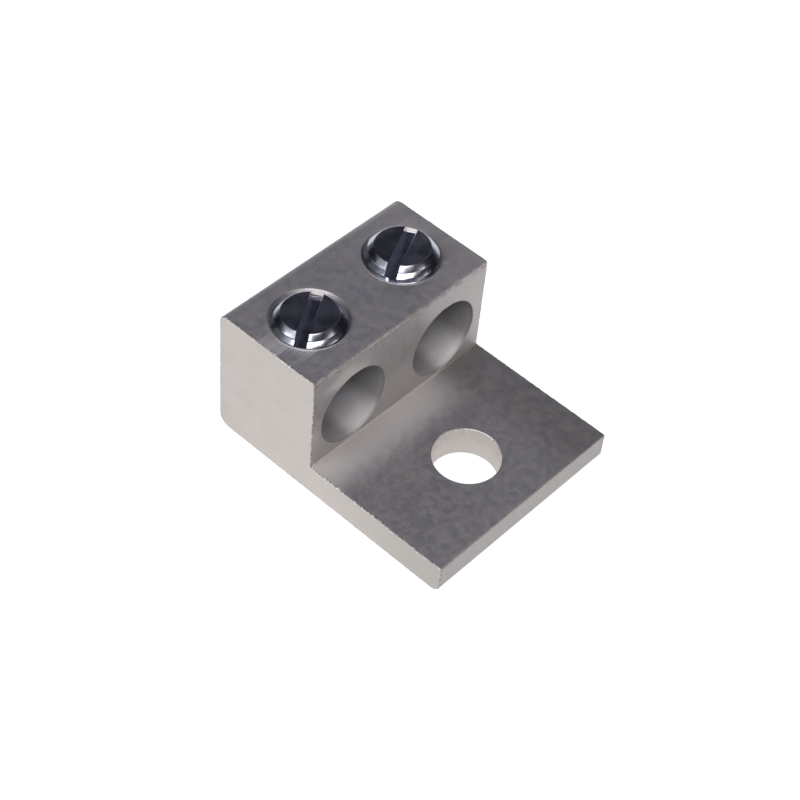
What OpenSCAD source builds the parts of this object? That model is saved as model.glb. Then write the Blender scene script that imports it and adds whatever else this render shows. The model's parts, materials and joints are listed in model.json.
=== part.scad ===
// Dual conductor lug: an extruded L-shaped aluminium block with two wire bores,
// a tongue with one mounting hole, and two slotted set screws that clamp the wires.
// Millimetres. X runs from the wire block to the tongue's tip, Y across the lug, Z up.
// The origin is the middle of the underside.

/* [Block] */
// Width of the lug across both wires, saw cut to saw cut
body_width = 30.2; // [29:0.1:36]
// Depth of the block along the wires
block_depth = 15.83; // [14:0.01:20]
// Height of the block above the underside
block_height = 19.18; // [18:0.01:24]

/* [Tongue] */
// Length of the lug from the block's rear face to the tongue's tip
lug_length = 37.27; // [34:0.01:46]
// Thickness of the tongue
tongue_thickness = 4.55; // [3:0.05:5.5]

/* [Extruded edges] */
// Radius of the block's rear top edge
rear_top_radius = 1.2; // [0.4:0.1:2]
// Radius of the block's front top edge
front_top_radius = 0.7; // [0.2:0.1:1.2]
// Radius of the block's rear bottom edge
rear_bottom_radius = 1.6; // [0.4:0.1:2.4]
// Radius of the tongue's bottom edge at the tip
tip_bottom_radius = 1.4; // [0.4:0.1:2]
// Radius of the tongue's top edge at the tip
tip_top_radius = 0.3; // [0.1:0.1:0.8]
// Radius of the inside corner between the block and the tongue
inner_radius = 0.3; // [0.2:0.1:1.5]

/* [Wire bores] */
// Diameter of each wire bore
wire_bore_d = 11; // [10.4:0.1:12]
// Distance between the two wire bores' axes
wire_spacing = 16; // [14:0.1:16.6]
// Height of the bores' lowest line above the tongue's top face
wire_bore_rise = 0.4; // [0.05:0.05:1]

/* [Mounting hole] */
// Diameter of the mounting hole, a clearance hole for a 5/16 inch bolt
mounting_hole_d = 8.7; // [6:0.1:10.4]
// Distance of the mounting hole's axis from the tongue's tip
mounting_hole_from_tip = 9.61; // [8:0.01:11]
// Width of the broken edge at each end of the mounting hole
mounting_hole_chamfer = 0.1; // [0.05:0.05:0.6]

/* [Set screws] */
// Major diameter of the screws' thread, 3/8 inch
thread_d = 9.525; // [8:0.005:10]
// Length of a set screw from its slotted end to its tip
screw_length = 9.525; // [8:0.005:11]
// Width of the 45 degree chamfer round the slotted end
screw_top_chamfer = 1.2; // [0.5:0.05:1.6]
// Width of the 45 degree chamfer round the tip
screw_tip_chamfer = 0.9; // [0.4:0.05:1.6]
// Width of the screwdriver slot
slot_width = 1.6; // [1:0.05:2.4]
// Depth of the screwdriver slot
slot_depth = 1.9; // [1:0.05:3]
// Height of the left screw's slotted end above the block's top face
left_screw_rise = 1.1; // [0:0.05:4]
// Height of the right screw's slotted end above the block's top face
right_screw_rise = 1.65; // [0:0.05:4]
// Angle of the left screw's slot from the X axis, in degrees
left_slot_angle = 121; // [0:1:180]
// Angle of the right screw's slot from the X axis, in degrees
right_slot_angle = 115; // [0:1:180]

/* [Tapped holes] */
// Gap all round between a screw and the wall of its tapped hole
thread_clearance = 0.07; // [0.03:0.01:0.1]
// Width of the 45 degree countersink at the mouth of a tapped hole
countersink_width = 0.2; // [0.1:0.05:0.8]

/* [Hidden] */
$fn = 96;
// How far a cutting shape runs past the face that it opens
cut_past = 1;

half_length = lug_length / 2;
rear_x = -half_length;
tip_x = half_length;
front_x = rear_x + block_depth;
wire_axis_z = tongue_thickness + wire_bore_rise + wire_bore_d / 2;
wire_y = wire_spacing / 2;
screw_x = rear_x + block_depth / 2;
tapped_r = thread_d / 2 + thread_clearance;
mounting_hole_x = tip_x - mounting_hole_from_tip;
screw_r = thread_d / 2;

// The material to take off a square corner to leave it round. The corner lies at
// the origin with the metal in the first quadrant.
module corner_waste(radius) {
    difference() {
        translate([-cut_past, -cut_past]) square(radius + cut_past);
        translate([radius, radius]) circle(radius);
    }
}

// The lug's section, drawn with the length along X and the height along Y
module lug_section() {
    difference() {
        union() {
            translate([rear_x, 0]) square([block_depth, block_height]);
            translate([rear_x, 0]) square([lug_length, tongue_thickness]);
            inside_corner();
        }
        translate([rear_x, 0]) corner_waste(rear_bottom_radius);
        translate([rear_x, block_height]) mirror([0, 1]) corner_waste(rear_top_radius);
        translate([front_x, block_height]) rotate(180) corner_waste(front_top_radius);
        translate([tip_x, 0]) mirror([1, 0]) corner_waste(tip_bottom_radius);
        translate([tip_x, tongue_thickness]) rotate(180) corner_waste(tip_top_radius);
    }
}

// The metal that rounds the corner where the tongue meets the block
module inside_corner() {
    translate([front_x, tongue_thickness])
        difference() {
            square(inner_radius);
            translate([inner_radius, inner_radius]) circle(inner_radius);
        }
}

// A wire bore, drilled right through the block and on past the inside corner
module wire_bore_cut() {
    translate([rear_x - cut_past, 0, wire_axis_z])
        rotate([0, 90, 0])
            cylinder(h = block_depth + inner_radius + 2 * cut_past, d = wire_bore_d);
}

// A tapped hole from the block's top face down into the wire bore, with its countersink
module tapped_hole_cut() {
    translate([screw_x, 0, wire_axis_z])
        cylinder(h = block_height - wire_axis_z + cut_past, r = tapped_r);
    translate([screw_x, 0, block_height - countersink_width])
        cylinder(
            h = countersink_width + cut_past,
            r1 = tapped_r,
            r2 = tapped_r + countersink_width + cut_past
        );
}

// The mounting hole with a broken edge at each end
module mounting_hole_cut() {
    hole_r = mounting_hole_d / 2;
    wide_r = hole_r + mounting_hole_chamfer;
    translate([mounting_hole_x, 0, 0])
        rotate_extrude()
            polygon([
                [0, -cut_past],
                [wide_r, -cut_past],
                [wide_r, 0],
                [hole_r, mounting_hole_chamfer],
                [hole_r, tongue_thickness - mounting_hole_chamfer],
                [wide_r, tongue_thickness],
                [wide_r, tongue_thickness + cut_past],
                [0, tongue_thickness + cut_past]
            ]);
}

module lug_body() {
    color("darkgray")
        difference() {
            translate([0, body_width / 2, 0])
                rotate([90, 0, 0])
                    linear_extrude(body_width) lug_section();
            for (side = [-1, 1]) {
                translate([0, side * wire_y, 0]) {
                    wire_bore_cut();
                    tapped_hole_cut();
                }
            }
            mounting_hole_cut();
        }
}

// A headless set screw with its tip at the origin: a chamfered shank with a
// screwdriver slot right across its upper end
module set_screw(slot_angle) {
    difference() {
        rotate_extrude()
            polygon([
                [0, 0],
                [screw_r - screw_tip_chamfer, 0],
                [screw_r, screw_tip_chamfer],
                [screw_r, screw_length - screw_top_chamfer],
                [screw_r - screw_top_chamfer, screw_length],
                [0, screw_length]
            ]);
        rotate(slot_angle)
            translate([-screw_r - cut_past, -slot_width / 2, screw_length - slot_depth])
                cube([thread_d + 2 * cut_past, slot_width, slot_depth + cut_past]);
    }
}

module left_set_screw() {
    color("slategray")
        translate([screw_x, -wire_y, block_height + left_screw_rise - screw_length])
            set_screw(left_slot_angle);
}

module right_set_screw() {
    color("slategray")
        translate([screw_x, wire_y, block_height + right_screw_rise - screw_length])
            set_screw(right_slot_angle);
}

lug_body();
left_set_screw();
right_set_screw();
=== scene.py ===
"""A dual conductor lug: an extruded aluminium block with two slotted set screws."""

import json
import math
from types import SimpleNamespace

import bmesh
import bpy
from bpy.props import FloatProperty, FloatVectorProperty, PointerProperty
from mathutils import Euler, Matrix, Vector


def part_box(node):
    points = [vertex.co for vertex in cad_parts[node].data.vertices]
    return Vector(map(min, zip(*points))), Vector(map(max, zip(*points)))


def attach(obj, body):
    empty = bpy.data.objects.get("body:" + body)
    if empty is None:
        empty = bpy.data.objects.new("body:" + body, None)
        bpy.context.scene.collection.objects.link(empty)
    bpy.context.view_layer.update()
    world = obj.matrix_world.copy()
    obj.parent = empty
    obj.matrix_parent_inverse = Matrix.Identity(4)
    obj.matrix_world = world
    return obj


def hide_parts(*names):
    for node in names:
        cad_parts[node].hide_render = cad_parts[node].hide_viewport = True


bl_info = {
    "name": "Dual Conductor Lug",
    "version": (1, 0, 0),
    "blender": (4, 5, 0),
    "location": "View3D > Sidebar > Lug",
    "description": "Models and finishes a two-wire terminal lug round its fixed frame",
    "category": "Object",
}

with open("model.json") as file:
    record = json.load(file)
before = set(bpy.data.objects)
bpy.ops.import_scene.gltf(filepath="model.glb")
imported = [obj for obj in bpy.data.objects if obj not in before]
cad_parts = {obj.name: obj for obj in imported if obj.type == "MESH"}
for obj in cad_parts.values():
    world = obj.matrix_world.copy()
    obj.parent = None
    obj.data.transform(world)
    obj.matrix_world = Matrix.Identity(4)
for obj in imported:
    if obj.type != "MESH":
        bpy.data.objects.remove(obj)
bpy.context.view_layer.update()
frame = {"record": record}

MM = 0.001
# Two points closer than this are one point when a mesh is cleaned
WELD = 1e-7
# Two lengths closer than this count as the same
SAME = 0.001 * MM
# How far a cutting shape runs past the face that it opens
CUT_PAST = 1 * MM
# A face is square to an axis where more than the first share of its unit normal lies along
# it, and runs along the axis where less than the second does
SQUARE_TO = 0.9
RUNS_ALONG = 0.1
# Faces that meet at more than this angle keep a sharp edge
SHARP_ANGLE = math.radians(32)
ROUND_SEGMENTS = 160
EDGE_SEGMENTS = 10
THREAD_STEPS = 96
# A unified thread's flank, and its depth and its crest's width as shares of its pitch
FLANK_ANGLE = math.radians(30)
THREAD_DEPTH = 0.5413
THREAD_CREST = 1 / 8
# Spacing of the small steps that break up a sawn edge, and the seed of their unevenness
BURR_SPACING = 0.25 * MM
BURR_SEED = 3
# The lip round a tapped hole: how far out its crest lies, and its shoulder from there, as
# a share of its width, and the shoulder's height as a share of the crest's
LIP_STEP = 0.3
LIP_SHOULDER = 0.75


def mount(name):
    """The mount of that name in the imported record."""
    return next(m for m in frame["record"]["mounts"] if m["name"] == name)


BODY_LOW, BODY_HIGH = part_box("lug_body")
BLOCK_HEIGHT = BODY_HIGH.z
HALF_WIDTH = BODY_HIGH.y
REAR_X = BODY_LOW.x
TIP_X = BODY_HIGH.x
FRONT_X = REAR_X + mount("left_wire_bore")["dims"]["length_mm"] * MM
WIRE_Y = mount("right_wire_bore")["pos_m"][1]
WIRE_Z = mount("left_wire_bore")["pos_m"][2]
WIRE_R = mount("left_wire_bore")["dims"]["r_mm"] * MM
HOLE_X = mount("mounting_hole")["pos_m"][0]
HOLE_R = mount("mounting_hole")["dims"]["r_mm"] * MM
TONGUE_TOP = mount("tongue_top")["pos_m"][2]


def length(name, text, default_mm, low_mm=0.0, high_mm=40.0):
    """A size that a user can change, given here in millimetres."""
    return FloatProperty(
        name=name,
        description=text,
        default=default_mm * MM,
        min=low_mm * MM,
        max=high_mm * MM,
        precision=5,
        subtype="DISTANCE",
        unit="LENGTH",
    )


def colour(name, text, default):
    """A colour that a user can change, linear red, green and blue."""
    return FloatVectorProperty(
        name=name, description=text, default=default, size=3, min=0.0, max=1.0, subtype="COLOR"
    )


class LugBodySizes(bpy.types.PropertyGroup):
    """The extrusion's edges and holes."""

    rear_top_radius: length("Rear top radius", "Round on the block's rear top edge", 1.2)
    front_top_radius: length("Front top radius", "Round on the block's front top edge", 0.35)
    rear_bottom_radius: length("Rear bottom radius", "Round under the block's rear", 1.6)
    tip_bottom_radius: length("Tip bottom radius", "Round under the tongue's tip", 1.4)
    tip_top_radius: length("Tip top radius", "Round on top of the tongue's tip", 0.3)
    inner_radius: length("Inner radius", "Round where the tongue meets the block", 0.2)
    burr: length("Burr", "Unevenness of the sawn edges", 0.034)
    sawn_edge: length("Sawn edge", "Width of the broken edge round each sawn side", 0.12)
    bore_edge: length("Bore edge", "Width of the broken edge at each bore's mouth", 0.06)
    hole_chamfer: length("Hole chamfer", "Broken edge of the mounting hole", 0.1)
    countersink: length("Countersink", "Width of the countersink over each screw", 0.16)
    lip_width: length("Lip width", "Width of the lip that the tap threw up round each hole", 0.36)
    lip_height: length("Lip height", "Height of the lip round each tapped hole", 0.1)


class LugScrewSizes(bpy.types.PropertyGroup):
    """The set screws and the thread that they share with the block."""

    pitch: length("Thread pitch", "Travel of a screw in one turn", 25.4 / 24)
    thread_gap: length("Thread gap", "Play between a screw's thread and its hole's", 0.04)
    top_chamfer: length("Top chamfer", "Chamfer round the slotted end", 1.2)
    tip_chamfer: length("Tip chamfer", "Chamfer round the tip", 0.9)
    edge_round: length("Edge round", "Round on the edges of the chamfers", 0.08)
    slot_width: length("Slot width", "Width of the screwdriver slot", 1.6)
    slot_depth: length("Slot depth", "Depth of the screwdriver slot", 1.9)
    slot_flare: length("Slot flare", "Broken edge along the slot", 0.06)
    left_slot_angle: FloatProperty(
        name="Left slot angle",
        description="Turn of the left screw's slot from the X axis",
        default=math.radians(121),
        subtype="ANGLE",
        unit="ROTATION",
    )
    right_slot_angle: FloatProperty(
        name="Right slot angle",
        description="Turn of the right screw's slot from the X axis",
        default=math.radians(115),
        subtype="ANGLE",
        unit="ROTATION",
    )


class LugColours(bpy.types.PropertyGroup):
    """The finishes' colours, and those of painted light and shade."""

    plating: colour("Tin plating", "Plating on the extruded faces", (0.475, 0.46, 0.465))
    plating_cool: colour("Cool plating", "Bluer, duller clouds in it", (0.435, 0.425, 0.457))
    plating_warm: colour("Warm plating", "Browner clouds in it", (0.49, 0.475, 0.445))
    sawn: colour("Sawn sides", "The plated saw cuts at both sides", (0.505, 0.485, 0.455))
    sawn_pale: colour("Pale sawn sides", "Paler, pinker clouds in them", (0.555, 0.505, 0.49))
    # Painted shade on the sawn sides towards the tip
    sawn_dull: colour("Dull sawn sides", "The sides towards the tip", (0.40, 0.385, 0.365))
    # Bare metal, shown in full only along the painted highlight in the bores
    drilled: colour("Drilled bores", "Bright, matt walls of the bores", (0.92, 0.91, 0.93))
    drilled_dull: colour("Dull bores", "Duller clouds in them", (0.80, 0.79, 0.80))
    # Painted shade deep in the bores and off their painted highlight
    drilled_deep: colour("Deep bores", "Their walls deep in and off the track", (0.17, 0.165, 0.16))
    # Paler tin of the front edge's burr crumbs, and painted light on the tongue's foot, the block's
    # front and the far top
    pale_tin: colour("Pale tin", "Duller, paler tin, as on the tongue's foot", (0.63, 0.60, 0.585))
    # Dark sawn edges and grain, and painted shade on the far tongue, the tip and just inside the
    # bores' mouths
    worn: colour("Worn tin", "The dark line along the sawn edges, and grain", (0.20, 0.175, 0.16))
    rubbed: colour("Rubbed edge", "The reddish tinge along the front edge", (0.23, 0.17, 0.18))
    crumbs: colour("Burrs", "Bright crumbs of burr and scratches", (0.85, 0.84, 0.84))
    screw: colour("Zinc plating", "Plated steel of the screws", (0.56, 0.60, 0.68))
    screw_violet: colour("Violet zinc", "Violet clouds in it", (0.50, 0.49, 0.60))
    backdrop: colour("Backdrop", "The floor and everything behind the lug", (1.0, 1.0, 1.0))
    dark_studio: colour("Dark studio", "What the top faces reflect", (0.01, 0.01, 0.015))


# Modelling


def deselect_all():
    """Nothing is selected, so that an operator acts only on what is picked next."""
    bpy.ops.object.select_all(action="DESELECT")


def pick(piece):
    """Makes piece the only selected and the active object."""
    deselect_all()
    piece.select_set(True)
    bpy.context.view_layer.objects.active = piece


def name_new(name):
    """Names the primitive that was just added and puts its place into its mesh."""
    piece = bpy.context.active_object
    piece.name = name
    piece.data.name = name
    bpy.ops.object.transform_apply(location=True, rotation=True, scale=True)
    return piece


def add_box(name, low, high):
    """A box between two corners."""
    deselect_all()
    low, high = Vector(low), Vector(high)
    bpy.ops.mesh.primitive_cube_add(size=1, location=(low + high) / 2, scale=high - low)
    return name_new(name)


def add_rod(name, radius, low_z, high_z):
    """A plain round rod along the Z axis."""
    deselect_all()
    low, high = Vector((0, 0, low_z)), Vector((0, 0, high_z))
    bpy.ops.mesh.primitive_cylinder_add(
        vertices=ROUND_SEGMENTS,
        radius=radius,
        depth=(high - low).length,
        location=(low + high) / 2,
    )
    return name_new(name)


def edit(piece):
    """Opens piece in edit mode with nothing selected."""
    pick(piece)
    bpy.ops.object.mode_set(mode="EDIT")
    bpy.ops.mesh.select_all(action="DESELECT")


def leave_edit():
    """Closes edit mode."""
    bpy.ops.object.mode_set(mode="OBJECT")


def draw_line(name, points):
    """An open line, drawn point by point by extruding one vertex."""
    deselect_all()
    bpy.ops.mesh.primitive_plane_add(size=MM, location=points[0])
    piece = name_new(name)
    edit(piece)
    bpy.ops.mesh.select_mode(type="VERT")
    bpy.ops.mesh.select_all(action="SELECT")
    bpy.ops.mesh.merge(type="CENTER")
    for here, there in zip(points, points[1:]):
        bpy.ops.mesh.extrude_region_move(
            TRANSFORM_OT_translate={"value": Vector(there) - Vector(here)}
        )
    leave_edit()
    return piece


def wind(piece, steps, turns=1, pitch=0.0):
    """Turns a drawn line round the Z axis, rising by pitch in each turn."""
    pick(piece)
    bpy.ops.object.modifier_add(type="SCREW")
    step = piece.modifiers[-1]
    step.axis = "Z"
    step.angle = math.tau
    step.screw_offset = pitch
    step.iterations = turns
    step.steps = steps
    step.render_steps = steps
    bpy.ops.object.modifier_apply(modifier=step.name)
    edit(piece)
    bpy.ops.mesh.select_all(action="SELECT")
    bpy.ops.mesh.remove_doubles(threshold=WELD)
    bpy.ops.mesh.normals_make_consistent(inside=False)
    leave_edit()


def add_turned(name, points, base, along):
    """A turned solid: an outline of radii and heights, closed on an axis from base along a way."""
    piece = draw_line(name, [(radius, 0, height) for radius, height in points])
    wind(piece, ROUND_SEGMENTS)
    pick(piece)
    piece.rotation_euler = Vector(along).to_track_quat("Z", "Y").to_euler()
    piece.location = base
    bpy.ops.object.transform_apply(location=True, rotation=True, scale=True)
    return piece


def select_edges(piece, test):
    """Selects, in edit mode, the edges whose two ends pass the test."""
    bpy.ops.mesh.select_mode(type="EDGE")
    bpy.ops.mesh.select_all(action="DESELECT")
    mesh = bmesh.from_edit_mesh(piece.data)
    for edge in mesh.edges:
        edge.select = test(edge.verts[0].co, edge.verts[1].co)
    mesh.select_flush_mode()
    bmesh.update_edit_mesh(piece.data)


def select_faces(piece, test):
    """Selects, in edit mode, the faces whose middle and normal pass the test."""
    bpy.ops.mesh.select_mode(type="FACE")
    bpy.ops.mesh.select_all(action="DESELECT")
    mesh = bmesh.from_edit_mesh(piece.data)
    for face in mesh.faces:
        face.select = test(face.calc_center_median(), face.normal)
    mesh.select_flush_mode()
    bmesh.update_edit_mesh(piece.data)


def near(a, b):
    """Whether two lengths count as the same."""
    return abs(a - b) < SAME


def combine(piece, tool, operation):
    """Cuts, joins or trims piece with tool, and deletes the tool."""
    pick(piece)
    bpy.ops.object.modifier_add(type="BOOLEAN")
    step = piece.modifiers[-1]
    step.operation = operation
    step.solver = "EXACT"
    step.object = tool
    bpy.ops.object.modifier_apply(modifier=step.name)
    pick(tool)
    bpy.ops.object.delete()
    return piece


def tidy_mesh(piece):
    """Welds points that lie on one another and turns every face outwards."""
    edit(piece)
    bpy.ops.mesh.select_all(action="SELECT")
    bpy.ops.mesh.remove_doubles(threshold=WELD)
    bpy.ops.mesh.dissolve_degenerate(threshold=WELD)
    bpy.ops.mesh.normals_make_consistent(inside=False)
    leave_edit()


def shade(piece):
    """Smooth shading with sharp edges, and flat faces kept truly flat."""
    pick(piece)
    bpy.ops.object.shade_smooth_by_angle(angle=SHARP_ANGLE)
    bpy.ops.object.modifier_add(type="WEIGHTED_NORMAL")
    step = piece.modifiers[-1]
    step.keep_sharp = True
    step.weight = 100
    bpy.ops.object.modifier_apply(modifier=step.name)


# The thread


def add_threaded_rod(name, crest_r, root_r, crest_width, pitch, low_z, high_z, phase_z):
    """A rod with a right-hand thread, flat at both ends, whose crest passes +X at phase_z."""
    flank = (crest_r - root_r) * math.tan(FLANK_ANGLE)
    half = crest_width / 2
    below = math.ceil((phase_z - low_z) / pitch) + 1
    turns = below + math.ceil((high_z - phase_z) / pitch) + 1
    z = phase_z - below * pitch
    rod = draw_line(
        name,
        [
            (root_r, 0, z - half - flank),
            (crest_r, 0, z - half),
            (crest_r, 0, z + half),
            (root_r, 0, z + half + flank),
            (root_r, 0, z - half - flank + pitch),
        ],
    )
    wind(rod, THREAD_STEPS, turns, pitch)
    edit(rod)
    for end_z, up in ((low_z, -1), (high_z, 1)):
        bpy.ops.mesh.select_all(action="SELECT")
        bpy.ops.mesh.bisect(
            plane_co=(0, 0, end_z),
            plane_no=(0, 0, up),
            use_fill=True,
            clear_outer=True,
            threshold=WELD,
        )
    bpy.ops.mesh.select_all(action="SELECT")
    bpy.ops.mesh.normals_make_consistent(inside=False)
    leave_edit()
    return rod


def move(piece, offset):
    """Moves a finished mesh, with its object left at the origin."""
    pick(piece)
    bpy.ops.transform.translate(value=offset)
    bpy.ops.object.transform_apply(location=True, rotation=True, scale=True)


# The set screws


def screw_facts(node):
    """A screw's axis, tip, top and radius, as its CAD node has them."""
    low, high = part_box(node)
    return SimpleNamespace(
        x=(low.x + high.x) / 2,
        y=(low.y + high.y) / 2,
        tip_z=low.z,
        top_z=high.z,
        radius=(high.x - low.x) / 2,
    )


def add_screw_blank(name, radius, tip_z, top_z, sizes):
    """The turned blank: a cylinder chamfered at both ends, with its new edges rounded."""
    # The blank stands clear of the crests, so that it trims only the chamfers
    past = 0.2 * MM
    blank = add_rod(name, radius + past, tip_z, top_z)
    for end_z, width in ((top_z, sizes.top_chamfer), (tip_z, sizes.tip_chamfer)):
        edit(blank)
        for offset, segments in ((width + past, 1), (sizes.edge_round, 3)):
            select_edges(blank, lambda a, b, z=end_z: near(a.z, z) and near(b.z, z))
            bpy.ops.mesh.bevel(offset=offset, segments=segments, affect="EDGES")
        leave_edit()
    return blank


def add_slot_cutter(name, radius, top_z, angle, sizes):
    """A bar as wide as the slot, flared at the top so that the slot's edges are broken."""
    half = sizes.slot_width / 2
    bar = add_box(
        name,
        (-radius - CUT_PAST, -half, top_z - sizes.slot_depth),
        (radius + CUT_PAST, half, top_z - sizes.slot_flare),
    )
    edit(bar)
    select_faces(bar, lambda middle, normal: normal.z > SQUARE_TO)
    bpy.ops.mesh.extrude_region_move(
        TRANSFORM_OT_translate={"value": (0, 0, sizes.slot_flare * 2)}
    )
    bpy.ops.transform.resize(value=(1, 1 + 2 * sizes.slot_flare / half, 1))
    bpy.ops.mesh.extrude_region_move(TRANSFORM_OT_translate={"value": (0, 0, CUT_PAST)})
    leave_edit()
    pick(bar)
    bar.rotation_euler = Euler((0, 0, angle))
    bpy.ops.object.transform_apply(location=True, rotation=True, scale=True)
    return bar


def build_set_screw(node, angle, sizes):
    """One slotted set screw, threaded from chamfer to chamfer, in its CAD node's place."""
    facts = screw_facts(node)
    name = node.replace("_set_screw", "_slotted_screw")
    rod = add_threaded_rod(
        name,
        facts.radius,
        facts.radius - THREAD_DEPTH * sizes.pitch - sizes.thread_gap,
        sizes.pitch * THREAD_CREST,
        sizes.pitch,
        facts.tip_z - CUT_PAST,
        facts.top_z + CUT_PAST,
        facts.tip_z,
    )
    blank = add_screw_blank(name + "_blank", facts.radius, facts.tip_z, facts.top_z, sizes)
    combine(rod, blank, "INTERSECT")
    slot = add_slot_cutter(name + "_slot", facts.radius, facts.top_z, angle, sizes)
    combine(rod, slot, "DIFFERENCE")
    tidy_mesh(rod)
    move(rod, (facts.x, facts.y, 0))
    shade(rod)
    return rod


# The extruded body


def roughen_sawn_edges(body, sizes):
    """Breaks the middle line of the sawn edges' rounds into small uneven steps, in edit mode."""
    # Edges whose lengths round to the same multiple of this are cut alike
    grid = 0.01 * MM
    # The broken edges' strip, with a little play for rounding
    strip = sizes.sawn_edge * 1.01

    def on_strip(a, b):
        """Whether an edge runs along a sawn edge and is long enough to be broken up."""
        inside = max(HALF_WIDTH - abs(point.y) for point in (a, b)) < strip
        return inside and near(a.y, b.y) and (a - b).length > 2 * BURR_SPACING

    def grid_length(a, b):
        """An edge's length as a whole number of grid steps."""
        return round((a - b).length / grid)

    bpy.ops.mesh.select_mode(type="EDGE")
    mesh = bmesh.from_edit_mesh(body.data)
    ends = [(edge.verts[0].co, edge.verts[1].co) for edge in mesh.edges]
    runs = {grid_length(a, b) for a, b in ends if on_strip(a, b)}
    for run in sorted(runs):
        select_edges(
            body, lambda a, b, run=run: on_strip(a, b) and grid_length(a, b) == run
        )
        bpy.ops.mesh.subdivide(number_cuts=round(run * grid / BURR_SPACING) - 1)
    # Where the middle line of a round in two steps lies
    middle = sizes.sawn_edge * (1 - math.sqrt(0.5))
    bpy.ops.mesh.select_mode(type="VERT")
    bpy.ops.mesh.select_all(action="DESELECT")
    mesh = bmesh.from_edit_mesh(body.data)
    for vert in mesh.verts:
        vert.select = near(HALF_WIDTH - abs(vert.co.y), middle)
    mesh.select_flush_mode()
    bmesh.update_edit_mesh(body.data)
    bpy.ops.transform.vertex_random(offset=sizes.burr, seed=BURR_SEED)


def add_extrusion(name, sizes):
    """The L-shaped body before it is drilled, with its rounded and sawn edges."""
    body = add_box(name, (REAR_X, -HALF_WIDTH, 0), (FRONT_X, HALF_WIDTH, BLOCK_HEIGHT))
    edit(body)
    bpy.ops.mesh.select_all(action="SELECT")
    bpy.ops.mesh.bisect(plane_co=(0, 0, TONGUE_TOP), plane_no=(0, 0, 1), threshold=WELD)
    select_faces(
        body, lambda middle, normal: normal.x > SQUARE_TO and middle.z < TONGUE_TOP
    )
    bpy.ops.mesh.extrude_region_move(
        TRANSFORM_OT_translate={"value": (TIP_X - FRONT_X, 0, 0)}
    )
    # Of the lines where the tongue meets the block, only the inside corner is left
    select_edges(
        body,
        lambda a, b: (
            near(a.z, TONGUE_TOP) and near(b.z, TONGUE_TOP) and min(a.x, b.x) < FRONT_X - WELD
        )
        or (near(a.x, FRONT_X) and near(b.x, FRONT_X) and min(a.z, b.z) < TONGUE_TOP - WELD),
    )
    bpy.ops.mesh.dissolve_edges(use_verts=False)
    rounds = (
        (REAR_X, BLOCK_HEIGHT, sizes.rear_top_radius),
        (FRONT_X, BLOCK_HEIGHT, sizes.front_top_radius),
        (REAR_X, 0, sizes.rear_bottom_radius),
        (TIP_X, 0, sizes.tip_bottom_radius),
        (TIP_X, TONGUE_TOP, sizes.tip_top_radius),
        (FRONT_X, TONGUE_TOP, sizes.inner_radius),
    )
    for x, z, radius in rounds:
        select_edges(
            body,
            lambda a, b, x=x, z=z: all(near(p.x, x) and near(p.z, z) for p in (a, b)),
        )
        bpy.ops.mesh.bevel(
            offset=radius, segments=EDGE_SEGMENTS, affect="EDGES", clamp_overlap=False
        )
    select_edges(body, lambda a, b: near(abs(a.y), HALF_WIDTH) and near(a.y, b.y))
    bpy.ops.mesh.bevel(
        offset=sizes.sawn_edge, segments=2, affect="EDGES", clamp_overlap=False
    )
    roughen_sawn_edges(body, sizes)
    leave_edit()
    return body


def drill_through(body, radius, depth, edge, base, along):
    """A hole right through the body from base along a way, with a broken edge at each end."""
    mouth_r = radius + edge
    drill = add_turned(
        "drill",
        [
            (0, -CUT_PAST),
            (mouth_r, -CUT_PAST),
            (mouth_r, 0),
            (radius, edge),
            (radius, depth - edge),
            (mouth_r, depth),
            (mouth_r, depth + CUT_PAST),
            (0, depth + CUT_PAST),
        ],
        base,
        along,
    )
    combine(body, drill, "DIFFERENCE")


def tap_hole(body, facts, screws, sizes):
    """A tapped hole in step with its screw's thread, with a lip and a countersunk mouth."""
    gap = screws.thread_gap
    tap = add_threaded_rod(
        "tap",
        facts.radius + gap,
        facts.radius - THREAD_DEPTH * screws.pitch + gap,
        screws.pitch * THREAD_CREST + 2 * gap,
        screws.pitch,
        WIRE_Z,
        BLOCK_HEIGHT + CUT_PAST,
        facts.tip_z,
    )
    move(tap, (facts.x, facts.y, 0))
    mouth = (facts.x, facts.y, BLOCK_HEIGHT)
    mouth_r = facts.radius + gap + sizes.countersink
    crest_r = mouth_r + sizes.lip_width * LIP_STEP
    lip = add_turned(
        "lip",
        [
            (0, -CUT_PAST),
            (mouth_r + sizes.lip_width, -CUT_PAST),
            (mouth_r + sizes.lip_width, 0),
            (crest_r + sizes.lip_width * LIP_STEP, sizes.lip_height * LIP_SHOULDER),
            (crest_r, sizes.lip_height),
            (mouth_r - sizes.lip_height, sizes.lip_height),
            (0, sizes.lip_height),
        ],
        mouth,
        (0, 0, 1),
    )
    combine(body, lip, "UNION")
    combine(body, tap, "DIFFERENCE")
    sink = add_turned(
        "sink",
        [
            (0, -mouth_r),
            (mouth_r + sizes.lip_height, sizes.lip_height),
            (mouth_r + sizes.lip_height, CUT_PAST),
            (0, CUT_PAST),
        ],
        mouth,
        (0, 0, 1),
    )
    combine(body, sink, "DIFFERENCE")


def build_body(sizes, screws):
    """The drilled and tapped extrusion."""
    body = add_extrusion("lug_extrusion", sizes)
    for node in ("left_set_screw", "right_set_screw"):
        facts = screw_facts(node)
        start = (REAR_X, facts.y, WIRE_Z)
        drill_through(body, WIRE_R, FRONT_X - REAR_X, sizes.bore_edge, start, (1, 0, 0))
        tap_hole(body, facts, screws, sizes)
    drill_through(body, HOLE_R, TONGUE_TOP, sizes.hole_chamfer, (HOLE_X, 0, 0), (0, 0, 1))
    tidy_mesh(body)
    shade(body)
    return body


# Materials

# Every length in this section is in millimetres on the piece, as the noise scales are,
# apart from those of the faces' tests at its end

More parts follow.
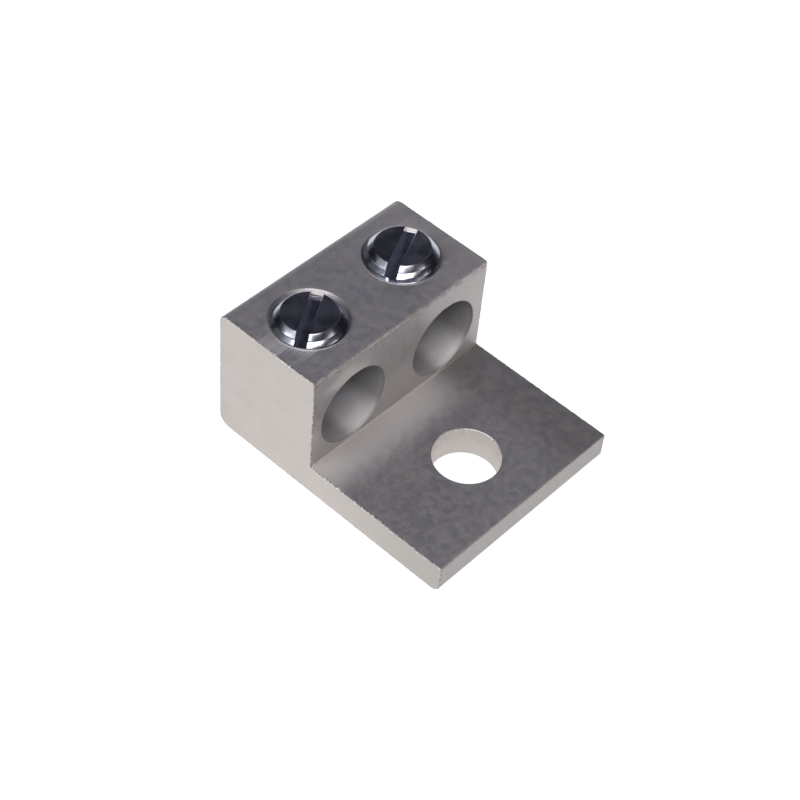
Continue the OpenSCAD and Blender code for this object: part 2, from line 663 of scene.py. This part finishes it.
# How near to a face a point has that face's own finish
FACE_SLACK = 0.2
FRONT_SLACK = 0.08
TOP_SLACK = 0.3

# How far the painted light on the tongue's foot reaches, and where it fades across the lug
FOOT_REACH = 7.4
FOOT_FULL_Y = 2.0
FOOT_GONE_Y = 12.0

# Painted light on the front face's lower part fades between these rises over the tongue
LOW_FACE_FULL = 4.5
LOW_FACE_GONE = 8.0

# On its upper right, painted light starts at this rise and grows between these places
FAR_FACE_RISE = 7.0
FAR_FACE_START_Y = 2.5
FAR_FACE_FULL_Y = 6.0

# Its patch of painted light over the left wire bore: the middle, how flat it is, its reach and its
# core
PATCH_Y = -9.5
PATCH_RISE = 11.6
PATCH_FLATNESS = 2.0
PATCH_REACH = 5.5
PATCH_CORE = 0.5

# Where painted shade on the far part of the tongue starts, and where it is darkest
FAR_TONGUE_START_Y = 5.0
FAR_TONGUE_FULL_Y = 11.0

# How far past the mounting hole's radius a bright cut counts as a side, and not its wall
HOLE_MARGIN = 1.0

# How the saw's marks on the sides and the scratches on the screws are turned
SAW_TURN = math.radians(38)
SCRATCH_TURN = math.radians(-62)

# Where the painted highlight runs along a wire bore's wall, as an angle from +Y towards +Z
HIGHLIGHT_ANGLE = math.radians(-62)
# How far in a bore's painted shade is darkest, and how much nearer for each millimetre over its
# axis
BORE_DARK_DEPTH = 6.0
BORE_DARK_LEAN = 0.9

# The tint's clouds have this share of the patches' scale, and lie this far from them
TINT_SCALE = 0.45
TINT_SHIFT = (31.0, 17.0, 7.0)
# How far a worn band's border sways, as a multiple of its reach
WEAR_SWAY = 3.0

# What the floor gives off and reflects: together white, and still shadowed by the lug
FLOOR_GLOW = 0.92
FLOOR_GREY = (0.2, 0.2, 0.2)

# In metres: how far a face of a drilled wall may lie off its true radius
WALL_SLACK = 0.02 * MM


def new_material(name):
    """A new node material and its tree, emptied."""
    material = bpy.data.materials.new(name)
    material.use_nodes = True
    material.node_tree.nodes.clear()
    return material, material.node_tree


def add_node(tree, kind, values=None, **settings):
    """A node with its settings, and values for the sockets that are named or numbered."""
    node = tree.nodes.new(kind)
    for key, value in settings.items():
        setattr(node, key, value)
    for key, value in (values or {}).items():
        if isinstance(value, bpy.types.NodeSocket):
            tree.links.new(value, node.inputs[key])
        else:
            node.inputs[key].default_value = value
    return node


def calc(tree, operation, first, *others):
    """The result of maths nodes, one for each value that joins the first."""
    result = first
    for other in others or (0.0,):
        step = add_node(tree, "ShaderNodeMath", {0: result, 1: other}, operation=operation)
        result = step.outputs[0]
    return result


def apart(tree, value, place):
    """How far a value is from a place, either way."""
    return calc(tree, "ABSOLUTE", calc(tree, "SUBTRACT", value, place))


def ease(tree, value, start, end, low=0.0, high=1.0):
    """A smooth change from low to high as a value goes from start to end."""
    values = {0: value, 1: start, 2: end, 3: low, 4: high}
    step = add_node(tree, "ShaderNodeMapRange", values, interpolation_type="SMOOTHSTEP")
    return step.outputs[0]


def noise(tree, vector, scale, detail=3.0, distortion=0.0):
    """Cloudy noise from 0 to 1."""
    values = {"Vector": vector, "Scale": scale, "Detail": detail, "Distortion": distortion}
    return add_node(tree, "ShaderNodeTexNoise", values).outputs[0]


def opaque(colour_values):
    """A colour with full alpha."""
    return (*colour_values, 1.0)


def blend(tree, factor, first, second):
    """A mix of two colours."""
    values = {0: factor, 6: first, 7: second}
    return add_node(tree, "ShaderNodeMix", values, data_type="RGBA").outputs[2]


def lay_over(tree, base, layers):
    """A colour with others over it, each by its mask and by its share there."""
    for mask, share, tint in layers:
        base = blend(tree, calc(tree, "MULTIPLY", mask, share), base, opaque(tint))
    return base


def raise_by(tree, value, parts):
    """A value raised by a share of each mask."""
    for mask, share in parts:
        value = calc(tree, "ADD", value, calc(tree, "MULTIPLY", mask, share))
    return value


def in_millimetres(tree):
    """The place on the piece in millimetres."""
    place = add_node(tree, "ShaderNodeTexCoord").outputs["Object"]
    values = {0: place, "Scale": 1 / MM}
    return add_node(tree, "ShaderNodeVectorMath", values, operation="SCALE").outputs[0]


def split(tree, place):
    """A place's X, Y and Z."""
    return add_node(tree, "ShaderNodeSeparateXYZ", {0: place}).outputs


def stretch(tree, vector, scale, turn=(0, 0, 0)):
    """Turned and stretched coordinates, for marks that run one way."""
    values = {"Vector": vector, "Rotation": turn, "Scale": scale}
    return add_node(tree, "ShaderNodeMapping", values).outputs[0]


def new_group(name, inputs, outputs):
    """A new shader node group, with its input node's sockets and its output node's."""
    group = bpy.data.node_groups.new(name, "ShaderNodeTree")
    for socket, kind in inputs.items():
        group.interface.new_socket(name=socket, in_out="INPUT", socket_type=kind)
    for socket in outputs:
        group.interface.new_socket(name=socket, in_out="OUTPUT", socket_type="NodeSocketFloat")
    entry = add_node(group, "NodeGroupInput").outputs
    return group, entry, add_node(group, "NodeGroupOutput").inputs


def place_group(tree, build, values):
    """Places a shared group in a material, and builds it if it is the first to need it."""
    group = bpy.data.node_groups.get(build.__name__) or build()
    return add_node(tree, "ShaderNodeGroup", values, node_tree=group).outputs


def uneven_plating():
    """Soft patches, a second set of patches for the tint, and a fine grain."""
    group, entry, out = new_group(
        "uneven_plating",
        {
            "Vector": "NodeSocketVector",
            "Patch Scale": "NodeSocketFloat",
            "Grain Scale": "NodeSocketFloat",
        },
        ("Patches", "Tint", "Grain"),
    )
    vector = entry["Vector"]
    patches = noise(group, vector, entry["Patch Scale"], detail=5.0, distortion=0.6)
    aside = add_node(group, "ShaderNodeVectorMath", {0: vector, 1: TINT_SHIFT}).outputs[0]
    tint = noise(group, aside, calc(group, "MULTIPLY", entry["Patch Scale"], TINT_SCALE))
    links = {
        "Patches": ease(group, patches, start=0.2, end=0.8),
        "Tint": ease(group, tint, start=0.35, end=0.65),
        "Grain": noise(group, vector, entry["Grain Scale"], detail=2.0),
    }
    for name, value in links.items():
        group.links.new(value, out[name])
    return group


def worn_edge():
    """A ragged band within reach of an edge, and bright crumbs of burr in it."""
    group, entry, out = new_group(
        "worn_edge",
        {
            "Vector": "NodeSocketVector",
            "Distance": "NodeSocketFloat",
            "Reach": "NodeSocketFloat",
        },
        ("Wear", "Crumbs"),
    )
    ragged = noise(group, entry["Vector"], scale=1.6, detail=4.0)
    shift = calc(group, "MULTIPLY", calc(group, "SUBTRACT", ragged, 0.5), entry["Reach"])
    reached = raise_by(group, entry["Distance"], ((shift, WEAR_SWAY),))
    wear = ease(group, reached, start=entry["Reach"], end=0.0)
    specks = noise(group, entry["Vector"], scale=3.5, detail=1.0)
    crumbs = calc(group, "MULTIPLY", wear, ease(group, specks, start=0.52, end=0.66))
    group.links.new(wear, out["Wear"])
    group.links.new(crumbs, out["Crumbs"])
    return group


def tool_lines():
    """Fine lines along the stretched way of the coordinates."""
    group, entry, out = new_group(
        "tool_lines",
        {"Vector": "NodeSocketVector", "Scale": "NodeSocketFloat"},
        ("Lines", "Strong Lines"),
    )
    lines = noise(group, entry["Vector"], entry["Scale"])
    group.links.new(lines, out["Lines"])
    group.links.new(ease(group, lines, start=0.56, end=0.7), out["Strong Lines"])
    return group


def finish_metal(tree, base, rough, relief, depth_mm):
    """The metal's shader and output, with a relief of that depth."""
    bump = add_node(tree, "ShaderNodeBump", {"Height": relief, "Distance": depth_mm * MM})
    values = {
        "Base Color": base,
        "Roughness": rough,
        "Metallic": 1.0,
        "Normal": bump.outputs[0],
    }
    shader = add_node(tree, "ShaderNodeBsdfPrincipled", values)
    add_node(tree, "ShaderNodeOutputMaterial", {"Surface": shader.outputs[0]})


def tongue_mask(tree, axes):
    """The tongue's top, in front of the block."""
    over = calc(tree, "GREATER_THAN", axes["Z"], TONGUE_TOP / MM - FACE_SLACK)
    under = calc(tree, "LESS_THAN", axes["Z"], TONGUE_TOP / MM + FACE_SLACK)
    in_front = calc(tree, "GREATER_THAN", axes["X"], FRONT_X / MM - FRONT_SLACK)
    return calc(tree, "MULTIPLY", over, under, in_front)


def foot_mask(tree, axes, on_tongue):
    """Light painted on the tongue's foot, strongest at the block."""
    along = calc(tree, "SUBTRACT", axes["X"], FRONT_X / MM)
    reach = ease(tree, along, start=FOOT_REACH, end=0.0)
    across = ease(tree, axes["Y"], start=FOOT_FULL_Y, end=FOOT_GONE_Y, low=1.0, high=0.0)
    return calc(tree, "MULTIPLY", reach, across, on_tongue)


def front_mask(tree, axes):
    """Light painted on the block's front: on its lower part, its upper right and one patch."""
    foot_z = TONGUE_TOP / MM + FACE_SLACK
    lower = ease(
        tree,
        axes["Z"],
        start=foot_z + LOW_FACE_FULL,
        end=foot_z + LOW_FACE_GONE,
        low=0.38,
        high=0.08,
    )
    far = calc(
        tree,
        "MULTIPLY",
        ease(tree, axes["Z"], start=foot_z + FAR_FACE_RISE, end=BLOCK_HEIGHT / MM),
        ease(tree, axes["Y"], start=FAR_FACE_START_Y, end=FAR_FACE_FULL_Y, high=0.4),
    )
    aloft = apart(tree, axes["Z"], foot_z + PATCH_RISE)
    off_patch = raise_by(tree, apart(tree, axes["Y"], PATCH_Y), ((aloft, PATCH_FLATNESS),))
    patch = ease(tree, off_patch, start=PATCH_REACH, end=PATCH_CORE, high=0.9)
    parts = calc(tree, "ADD", far, patch, lower)
    above = calc(tree, "GREATER_THAN", axes["Z"], foot_z)
    in_front = calc(tree, "GREATER_THAN", axes["X"], FRONT_X / MM - FRONT_SLACK)
    return calc(tree, "MULTIPLY", parts, above, in_front)


def front_edge_gap(tree, axes):
    """The distance from the block's front top edge."""
    gaps = (
        calc(tree, "SUBTRACT", axes["X"], FRONT_X / MM),
        calc(tree, "SUBTRACT", axes["Z"], BLOCK_HEIGHT / MM),
    )
    squares = [calc(tree, "MULTIPLY", gap, gap) for gap in gaps]
    return calc(tree, "SQRT", calc(tree, "ADD", *squares))


def plated_aluminium(colours):
    """Clouded satin tin plating on extruded faces, die lines across the lug, painted light and
    shade.
    """
    material, tree = new_material("plated_aluminium")
    place = in_millimetres(tree)
    axes = split(tree, place)
    uneven = place_group(
        tree, uneven_plating, {"Vector": place, "Patch Scale": 1.0, "Grain Scale": 5.5}
    )
    lines = place_group(
        tree, tool_lines, {"Vector": stretch(tree, place, (1, 0.04, 1)), "Scale": 2.6}
    )
    side_gap = calc(tree, "SUBTRACT", HALF_WIDTH / MM, calc(tree, "ABSOLUTE", axes["Y"]))
    sawn = place_group(tree, worn_edge, {"Vector": place, "Distance": side_gap, "Reach": 0.26})
    front_gap = front_edge_gap(tree, axes)
    front = place_group(tree, worn_edge, {"Vector": place, "Distance": front_gap, "Reach": 0.75})

    on_tongue = tongue_mask(tree, axes)
    # Painted light on the tongue's foot and on the block's front
    pale = calc(tree, "ADD", foot_mask(tree, axes, on_tongue), front_mask(tree, axes))
    # Painted shade on the far part of the tongue
    far_tongue_shade = ease(tree, axes["Y"], start=FAR_TONGUE_START_Y, end=FAR_TONGUE_FULL_Y)
    # Painted shade on the tip
    tip_shade = calc(tree, "GREATER_THAN", axes["X"], TIP_X / MM - FACE_SLACK)
    on_top = calc(tree, "GREATER_THAN", axes["Z"], BLOCK_HEIGHT / MM - TOP_SLACK)
    # Painted light on the far part of the top
    far_top_light = ease(tree, axes["Y"], start=0.0, end=HALF_WIDTH / MM)

    base = blend(tree, uneven["Patches"], opaque(colours.plating_cool), opaque(colours.plating))
    base = lay_over(
        tree,
        base,
        (
            (uneven["Tint"], 0.45, colours.plating_warm),
            (ease(tree, uneven["Grain"], start=0.3, end=0.7), 0.3, colours.worn),
            (pale, 0.8, colours.pale_tin),
            (calc(tree, "MULTIPLY", on_tongue, far_tongue_shade), 0.38, colours.worn),
            (sawn["Wear"], 0.6, colours.worn),
            (sawn["Crumbs"], 0.7, colours.crumbs),
            (front["Wear"], 0.6, colours.rubbed),
            (front["Crumbs"], 0.4, colours.pale_tin),
            (tip_shade, 0.25, colours.worn),
            (calc(tree, "MULTIPLY", on_top, far_top_light), 0.4, colours.pale_tin),
        ),
    )
    rough = ease(tree, uneven["Patches"], start=0.0, end=1.0, low=0.405, high=0.475)
    rough = raise_by(
        tree, rough, ((uneven["Grain"], 0.08), (pale, 0.4), (front["Wear"], 0.1))
    )
    relief = raise_by(tree, uneven["Grain"], ((lines["Lines"], 0.7),))
    finish_metal(tree, base, rough, relief, depth_mm=0.008)
    return material


def sawn_aluminium(colours):
    """A plated saw cut: smooth and bright, with painted shade towards the tip, and a burred top
    edge.
    """
    material, tree = new_material("sawn_aluminium")
    place = in_millimetres(tree)
    axes = split(tree, place)
    uneven = place_group(
        tree, uneven_plating, {"Vector": place, "Patch Scale": 0.28, "Grain Scale": 3.0}
    )
    marks = stretch(tree, place, (0.05, 1, 1), (0, SAW_TURN, 0))
    lines = place_group(tree, tool_lines, {"Vector": marks, "Scale": 1.6})
    on_tongue = calc(tree, "GREATER_THAN", axes["X"], FRONT_X / MM)
    drop = calc(tree, "MULTIPLY", on_tongue, (BLOCK_HEIGHT - TONGUE_TOP) / MM)
    top_gap = calc(tree, "SUBTRACT", BLOCK_HEIGHT / MM, drop, axes["Z"])
    edge = place_group(tree, worn_edge, {"Vector": place, "Distance": top_gap, "Reach": 0.4})
    # The mounting hole's wall has this material too, and gets no painted shade
    off_middle = calc(tree, "ABSOLUTE", axes["Y"])
    off_hole = calc(tree, "GREATER_THAN", off_middle, HOLE_R / MM + HOLE_MARGIN)
    # Painted shade on the sides, darker towards the tip
    sawn_tip_shade = ease(tree, axes["X"], start=FRONT_X / MM, end=TIP_X / MM)
    base = blend(tree, uneven["Patches"], opaque(colours.sawn), opaque(colours.sawn_pale))
    base = lay_over(
        tree,
        base,
        (
            (lines["Lines"], 0.2, colours.plating),
            (calc(tree, "MULTIPLY", sawn_tip_shade, off_hole), 0.7, colours.sawn_dull),
            (edge["Crumbs"], 1.0, colours.crumbs),
        ),
    )
    rough = ease(tree, lines["Lines"], start=0.2, end=0.8, low=0.46, high=0.56)
    relief = calc(tree, "ADD", uneven["Grain"], lines["Lines"])
    finish_metal(tree, base, rough, relief, depth_mm=0.005)
    return material


def drilled_aluminium(colours):
    """A drilled bore's plated wall with drill marks, painted shade deep in and off a painted
    highlight.
    """
    material, tree = new_material("drilled_aluminium")
    place = in_millimetres(tree)
    axes = split(tree, place)
    uneven = place_group(
        tree, uneven_plating, {"Vector": place, "Patch Scale": 0.35, "Grain Scale": 4.0}
    )
    lines = place_group(
        tree, tool_lines, {"Vector": stretch(tree, place, (1, 0.05, 0.05)), "Scale": 1.8}
    )
    # How far in from the nearer mouth, and how high over the bore's axis
    off_middle = apart(tree, axes["X"], (REAR_X + FRONT_X) / 2 / MM)
    depth = calc(tree, "SUBTRACT", (FRONT_X - REAR_X) / 2 / MM, off_middle)
    rise = calc(tree, "SUBTRACT", axes["Z"], WIRE_Z / MM)
    # Painted shade deep in the bore, reaching nearer the mouth higher up the wall
    deep = ease(
        tree, raise_by(tree, depth, ((rise, BORE_DARK_LEAN),)), start=0.0, end=BORE_DARK_DEPTH
    )
    # Painted shade just inside the mouth
    ring = ease(tree, depth, start=0.45, end=0.05)
    # How far towards the painted highlight along the wall, as a share of the bore's radius
    axis = calc(tree, "MULTIPLY", calc(tree, "SIGN", axes["Y"]), WIRE_Y / MM)
    across = calc(tree, "SUBTRACT", axes["Y"], axis)
    aside = calc(tree, "MULTIPLY", across, math.cos(HIGHLIGHT_ANGLE) / (WIRE_R / MM))
    towards = raise_by(tree, aside, ((rise, math.sin(HIGHLIGHT_ANGLE) / (WIRE_R / MM)),))
    # Painted shade off the painted highlight
    off_highlight = ease(tree, towards, start=0.98, end=0.80)
    base = blend(tree, uneven["Patches"], opaque(colours.drilled), opaque(colours.drilled_dull))
    base = lay_over(
        tree,
        base,
        (
            (off_highlight, 0.4, colours.drilled_deep),
            (deep, 1.0, colours.drilled_deep),
            (ring, 0.35, colours.worn),
            (lines["Lines"], 0.12, colours.worn),
        ),
    )
    rough = ease(tree, lines["Lines"], start=0.2, end=0.8, low=0.64, high=0.72)
    finish_metal(tree, base, rough, lines["Lines"], depth_mm=0.003)
    return material


def plated_steel(colours):
    """Bright bluish zinc plating with faint clouds and scratches."""
    material, tree = new_material("plated_steel")
    place = in_millimetres(tree)
    uneven = place_group(
        tree, uneven_plating, {"Vector": place, "Patch Scale": 0.9, "Grain Scale": 3.2}
    )
    marks = stretch(tree, place, (0.08, 1.0, 0.6), (0, 0, SCRATCH_TURN))
    scratches = place_group(tree, tool_lines, {"Vector": marks, "Scale": 3.4})["Strong Lines"]
    base = blend(tree, uneven["Patches"], opaque(colours.screw), opaque(colours.screw_violet))
    base = lay_over(tree, base, ((scratches, 0.05, colours.crumbs),))
    rough = ease(tree, uneven["Tint"], start=0.0, end=1.0, low=0.17, high=0.22)
    rough = raise_by(tree, rough, ((scratches, 0.02),))
    relief = raise_by(tree, uneven["Grain"], ((scratches, 0.12),))
    finish_metal(tree, base, rough, relief, depth_mm=0.002)
    return material


def white_floor(colours):
    """White to the eye and in reflections, shadowed by the lug, and clear from below."""
    material, tree = new_material("white_floor")
    paths = add_node(tree, "ShaderNodeLightPath").outputs
    seen = calc(
        tree,
        "MAXIMUM",
        paths["Is Camera Ray"],
        paths["Is Glossy Ray"],
        paths["Is Transmission Ray"],
    )
    glow = add_node(
        tree,
        "ShaderNodeEmission",
        {"Color": opaque(colours.backdrop), "Strength": calc(tree, "MULTIPLY", seen, FLOOR_GLOW)},
    )
    matt = add_node(tree, "ShaderNodeBsdfDiffuse", {"Color": opaque(FLOOR_GREY)})
    both = add_node(tree, "ShaderNodeAddShader", {0: glow.outputs[0], 1: matt.outputs[0]})
    back = add_node(tree, "ShaderNodeNewGeometry").outputs["Backfacing"]
    from_below = calc(tree, "MULTIPLY", back, paths["Is Camera Ray"])
    clear = add_node(tree, "ShaderNodeBsdfTransparent")
    surface = add_node(
        tree, "ShaderNodeMixShader", {0: from_below, 1: both.outputs[0], 2: clear.outputs[0]}
    )
    add_node(tree, "ShaderNodeOutputMaterial", {"Surface": surface.outputs[0]})
    return material


def in_wire_bore(middle, normal):
    """Whether a face of the body is part of a wire bore's wall."""
    reach = math.hypot(abs(middle.y) - WIRE_Y, middle.z - WIRE_Z)
    on_wall = abs(reach - WIRE_R) < WALL_SLACK and abs(normal.x) < RUNS_ALONG
    return on_wall and middle.x < FRONT_X


def on_bright_cut(middle, normal):
    """Whether a face of the body is part of a sawn side or of the mounting hole's wall."""
    sawn = abs(normal.y) > SQUARE_TO and near(abs(middle.y), HALF_WIDTH)
    in_hole = math.hypot(middle.x - HOLE_X, middle.y) < HOLE_R + WALL_SLACK
    return sawn or (in_hole and abs(normal.z) < RUNS_ALONG)


def paint_faces(piece, index, test):
    """Gives the faces that pass the test the material of that index."""
    edit(piece)
    select_faces(piece, test)
    piece.active_material_index = index
    bpy.ops.object.material_slot_assign()
    leave_edit()


def finish_piece(piece, body, node, material):
    """Puts a finished piece on its body in place of its CAD node."""
    piece.data.materials.clear()
    piece.data.materials.append(material)
    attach(piece, body)
    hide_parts(node)


# The stage

# The floor's width in metres
FLOOR_SIZE = 6
# How far the floor lies under the lug, so that their faces never coincide
FLOOR_GAP = 0.02 * MM

# The lamps' tints: plain, cooler and warmer white, and blue from overhead
NEUTRAL = (1.0, 1.0, 1.0)
COOL = (0.96, 0.97, 1.07)
WARM = (1.05, 1.0, 0.95)
SKY = (0.5, 0.6, 1.9)

# Each softbox's azimuth and elevation in degrees, how bright it looks beside white paper,
# and its tint
SOFTBOXES = {
    "key": (-105, 20, 5.2, NEUTRAL),
    "right": (15, 20, 2.4, WARM),
    "behind_right": (135, 20, 0.8, COOL),
    "behind": (165, 20, 0.1, COOL),
    "far_right": (105, 20, 0.08, COOL),
    "middle_front": (-60, 45, 2.1, NEUTRAL),
    "middle_key": (-90, 45, 0.57, NEUTRAL),
    "middle_left": (-120, 45, 0.36, NEUTRAL),
    "middle_far_left": (-150, 45, 0.12, NEUTRAL),
    "middle_back": (90, 45, 0.09, COOL),
    "high_key": (-90, 70, 4.1, NEUTRAL),
    "high_front": (-30, 70, 3.4, WARM),
    "high_right": (30, 70, 0.2, NEUTRAL),
    "high_back": (150, 70, 0.15, COOL),
    "overhead": (0, 90, 0.25, SKY),
}
# Their distance from the lug and their width, in metres
SOFTBOX_DISTANCE = 0.8
SOFTBOX_SIZE = 0.42

# The camera's place, worked out from the straight edges of the real lug
CAMERA_AZIMUTH = math.radians(38.8915)
CAMERA_ELEVATION = math.radians(47.7706)
CAMERA_ROLL = math.radians(5.8248)
CAMERA_DISTANCE = 248.88 * MM
CAMERA_ASIDE = 12.304 * MM
CAMERA_BELOW = 5.131 * MM
CAMERA_LENS = 86.30
CAMERA_NEAREST = 10 * MM


def add_floor(colours):
    """A white floor under the lug."""
    deselect_all()
    bpy.ops.mesh.primitive_plane_add(size=FLOOR_SIZE, location=(0, 0, -FLOOR_GAP))
    floor = name_new("floor")
    floor.data.materials.append(white_floor(colours))


def light_world(colours):
    """A white surround to the eye, and a dark studio in the metal."""
    world = bpy.data.worlds.new("studio")
    world.use_nodes = True
    tree = world.node_tree
    tree.nodes.clear()
    paths = add_node(tree, "ShaderNodeLightPath")
    white = add_node(tree, "ShaderNodeBackground", {"Color": opaque(colours.backdrop)})
    dark = add_node(tree, "ShaderNodeBackground", {"Color": opaque(colours.dark_studio)})
    mixed = add_node(
        tree,
        "ShaderNodeMixShader",
        {0: paths.outputs["Is Camera Ray"], 1: dark.outputs[0], 2: white.outputs[0]},
    )
    add_node(tree, "ShaderNodeOutputWorld", {"Surface": mixed.outputs[0]})
    bpy.context.scene.world = world


def direction(azimuth, elevation):
    """The unit vector to an azimuth, from +X towards +Y, and an elevation, in degrees."""
    a, e = math.radians(azimuth), math.radians(elevation)
    return Vector((math.cos(a) * math.cos(e), math.sin(a) * math.cos(e), math.sin(e)))


def add_softbox(name, azimuth, elevation, brightness, tint):
    """A square lamp that faces the lug."""
    place = direction(azimuth, elevation) * SOFTBOX_DISTANCE
    bpy.ops.object.light_add(type="AREA", location=place)
    lamp = bpy.context.active_object
    lamp.name = name
    lamp.rotation_euler = place.to_track_quat("Z", "Y").to_euler()
    lamp.data.shape = "SQUARE"
    lamp.data.size = SOFTBOX_SIZE
    lamp.data.color = tint
    lamp.data.energy = brightness * math.pi * SOFTBOX_SIZE**2
    lamp.visible_camera = False


def add_lamps():
    """The softboxes round and over the lug."""
    for name, (azimuth, elevation, brightness, tint) in SOFTBOXES.items():
        add_softbox(name, azimuth, elevation, brightness, tint)


def add_camera():
    """The camera, at the photograph's angle and distance."""
    a, e = CAMERA_AZIMUTH, CAMERA_ELEVATION
    back = Vector((math.sin(a) * math.cos(e), -math.cos(a) * math.cos(e), math.sin(e)))
    level = Vector((math.cos(a), math.sin(a), 0))
    right = Matrix.Rotation(CAMERA_ROLL, 3, back) @ level
    up = back.cross(right)
    aim = Vector((REAR_X, 0, 0))
    place = aim + right * CAMERA_ASIDE - up * CAMERA_BELOW + back * CAMERA_DISTANCE
    bpy.ops.object.camera_add(location=place)
    camera = bpy.context.active_object
    camera.name = "camera"
    camera.rotation_euler = Matrix((right, up, back)).transposed().to_euler()
    camera.data.lens = CAMERA_LENS
    camera.data.clip_start = CAMERA_NEAREST
    bpy.context.scene.camera = camera


# Operators


class LUG_OT_extruded_body(bpy.types.Operator):
    """Models the extruded, drilled and tapped body and gives it its tin plating"""

    bl_idname = "lug.extruded_body"
    bl_label = "Extruded body"

    def execute(self, context):
        scene = context.scene
        body = build_body(scene.lug_body_sizes, scene.lug_screw_sizes)
        finish_piece(
            body, "lug", "lug_body", plated_aluminium(scene.lug_colours)
        )
        body.data.materials.append(drilled_aluminium(scene.lug_colours))
        body.data.materials.append(sawn_aluminium(scene.lug_colours))
        paint_faces(body, 1, in_wire_bore)
        paint_faces(body, 2, on_bright_cut)
        return {"FINISHED"}


class LUG_OT_set_screws(bpy.types.Operator):
    """Models both slotted set screws and gives them their zinc plating"""

    bl_idname = "lug.set_screws"
    bl_label = "Set screws"

    def execute(self, context):
        sizes = context.scene.lug_screw_sizes
        material = plated_steel(context.scene.lug_colours)
        for side, angle in (("left", sizes.left_slot_angle), ("right", sizes.right_slot_angle)):
            node = side + "_set_screw"
            screw = build_set_screw(node, angle, sizes)
            finish_piece(screw, side + "_screw", node, material)
        return {"FINISHED"}


class LUG_OT_stage(bpy.types.Operator):
    """Sets up the floor, the light and the camera"""

    bl_idname = "lug.stage"
    bl_label = "Stage"

    def execute(self, context):
        scene = context.scene
        add_floor(scene.lug_colours)
        light_world(scene.lug_colours)
        add_lamps()
        add_camera()
        scene.view_settings.view_transform = "Standard"
        return {"FINISHED"}


class LUG_PT_panel(bpy.types.Panel):
    """The lug's sizes, colours and operators"""

    bl_idname = "LUG_PT_panel"
    bl_label = "Dual conductor lug"
    bl_space_type = "VIEW_3D"
    bl_region_type = "UI"
    bl_category = "Lug"

    def draw(self, context):
        for group in (
            context.scene.lug_body_sizes,
            context.scene.lug_screw_sizes,
            context.scene.lug_colours,
        ):
            column = self.layout.column(align=True)
            for key in group.__annotations__:
                column.prop(group, key)
        for operator in OPERATORS:
            self.layout.operator(operator.bl_idname)


GROUPS = {
    "lug_body_sizes": LugBodySizes,
    "lug_screw_sizes": LugScrewSizes,
    "lug_colours": LugColours,
}
OPERATORS = (LUG_OT_extruded_body, LUG_OT_set_screws, LUG_OT_stage)
CLASSES = (*GROUPS.values(), *OPERATORS, LUG_PT_panel)


def register():
    """Registers the classes and hangs the property groups on the scene."""
    for item in CLASSES:
        bpy.utils.register_class(item)
    for name, group in GROUPS.items():
        setattr(bpy.types.Scene, name, PointerProperty(type=group))


def unregister():
    """Undoes register."""
    for name in GROUPS:
        delattr(bpy.types.Scene, name)
    for item in reversed(CLASSES):
        bpy.utils.unregister_class(item)


def main():
    """Makes the lug and its stage."""
    register()
    bpy.ops.lug.extruded_body()
    bpy.ops.lug.set_screws()
    bpy.ops.lug.stage()


if __name__ == "__main__":
    main()
